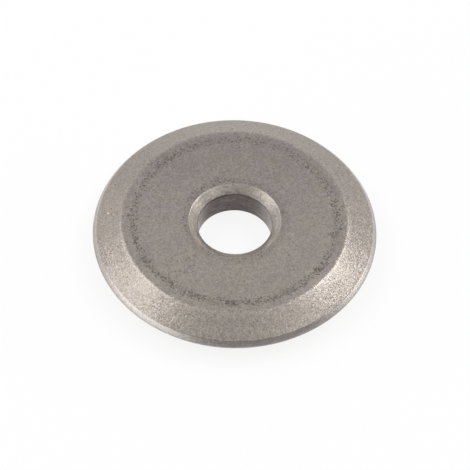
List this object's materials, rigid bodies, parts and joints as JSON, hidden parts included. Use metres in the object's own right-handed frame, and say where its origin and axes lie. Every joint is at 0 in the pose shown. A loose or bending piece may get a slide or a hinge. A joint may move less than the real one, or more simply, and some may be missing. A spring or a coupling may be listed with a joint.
{
  "type": "tile cutter wheel",
  "caption": "Round one-piece carbide cutting wheel with a plain chamfered axle bore, flat pads and a bevelled cutting edge, for scoring ceramic tiles.",
  "frame": {"origin": "centre of the lower pad, under the middle of the bore", "axes": "+Z along the bore axis, from the lower face to the upper one; the wheel lies flat and X and Y are free, because it is round"},
  "size_m": [0.023, 0.023, 0.0032],
  "materials": {
    "sintered_carbide": "matt, as sintered: fine sparkling grain, no polish and no coating"
  },
  "bodies": {
    "root": {"cutter_wheel": "sintered_carbide"}
  },
  "joints": []
}
